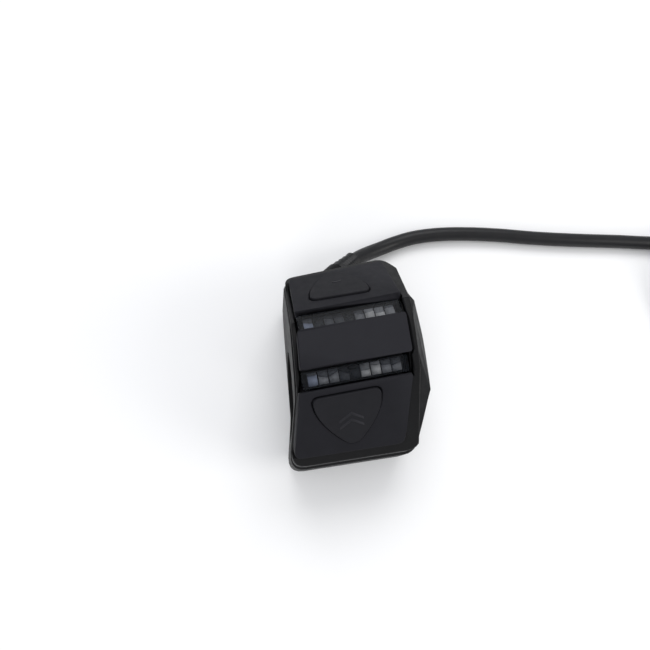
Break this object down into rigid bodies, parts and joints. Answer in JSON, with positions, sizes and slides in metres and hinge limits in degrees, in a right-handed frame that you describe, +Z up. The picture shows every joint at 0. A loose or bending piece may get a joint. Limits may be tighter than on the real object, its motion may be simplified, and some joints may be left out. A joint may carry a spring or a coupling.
{
  "type": "handlebar thumb shifter",
  "caption": "Electric thumb shifter pod for a round handlebar, with stepped press pads, smoked light windows, a two-part bar clamp and a signal lead.",
  "frame": {"origin": "on the handlebar's axis, midway along the pod's pads", "axes": "+X along the bar to the right as the rider sees it, +Y forward away from the rider, +Z up out of the middle pad"},
  "size_m": [0.183, 0.073, 0.0418],
  "materials": {
    "shell": "black moulded plastic, fine spark texture",
    "pad": "soft-touch matte black",
    "inlay": "matte black rubber",
    "lens": "smoked clear plastic",
    "light_guide": "milky clear plastic, unlit",
    "liner": "ribbed black rubber",
    "screw": "stainless",
    "insert": "machined",
    "pin": "ground",
    "spring": "drawn wire",
    "switch": "black engineering plastic",
    "plunger": "natural engineering plastic",
    "board": "solder mask on glass fibre board",
    "lead": "satin black sheath"
  },
  "bodies": {
    "housing": {"top_bezel": "shell", "clamp_body": "shell", "lower_clamp_shell": "shell", "upper_bar_liner": "liner", "lower_bar_liner": "liner", "clamp_screw_1": "screw", "clamp_screw_2": "screw", "clamp_screw_3": "screw", "clamp_screw_4": "screw", "clamp_insert_1": "insert", "clamp_insert_2": "insert", "clamp_insert_3": "insert", "clamp_insert_4": "insert", "lower_hinge_pin": "pin", "lower_switch_body": "switch", "lower_switch_board": "board", "upper_hinge_pin": "pin", "upper_switch_body": "switch", "upper_switch_board": "board", "key_spring_1": "spring", "key_spring_2": "spring", "middle_switch_body": "switch", "middle_switch_board": "board", "lower_window_lens": "lens", "lower_light_guide": "light_guide", "lower_light_board": "board", "upper_window_lens": "lens", "upper_light_guide": "light_guide", "upper_light_board": "board", "inner_chassis": "switch", "controller_board": "board", "controller_chip": "switch", "wire_header": "plunger", "strain_relief": "lead", "signal_lead": "lead", "lead_coil": "lead", "lead_tail": "lead", "connector_boot": "lead", "connector_body": "shell", "connector_ring": "shell"},
    "upper_paddle": {"upper_paddle": "pad", "upper_shield_inlay": "inlay", "upper_switch_plunger": "plunger"},
    "lower_paddle": {"lower_paddle": "pad", "lower_shield_inlay": "inlay", "lower_switch_plunger": "plunger"},
    "middle_key": {"middle_key": "pad", "middle_switch_plunger": "plunger"}
  },
  "joints": [
    {"name": "lower_paddle_press", "type": "hinge", "parent": "housing", "child": "lower_paddle", "pos_m": [-0.00068, -0.00296, 0.02115], "axis": [0.9943, 0.1064, 0], "range_deg": [0, 2], "stiffness_Nm_per_rad": 0.4, "springref_deg": -1.15},
    {"name": "upper_paddle_press", "type": "hinge", "parent": "housing", "child": "upper_paddle", "pos_m": [0.00069, 0.01703, 0.02116], "axis": [-0.9943, -0.1064, 0], "range_deg": [0, 2], "stiffness_Nm_per_rad": 0.4, "springref_deg": -1.15},
    {"name": "middle_key_press", "type": "slide", "parent": "housing", "child": "middle_key", "axis": [0, 0, -1], "range_m": [0, 0.0006], "stiffness_N_per_m": 1500, "springref_m": -0.0003, "deforming": ["key_spring_1", "key_spring_2"]}
  ]
}
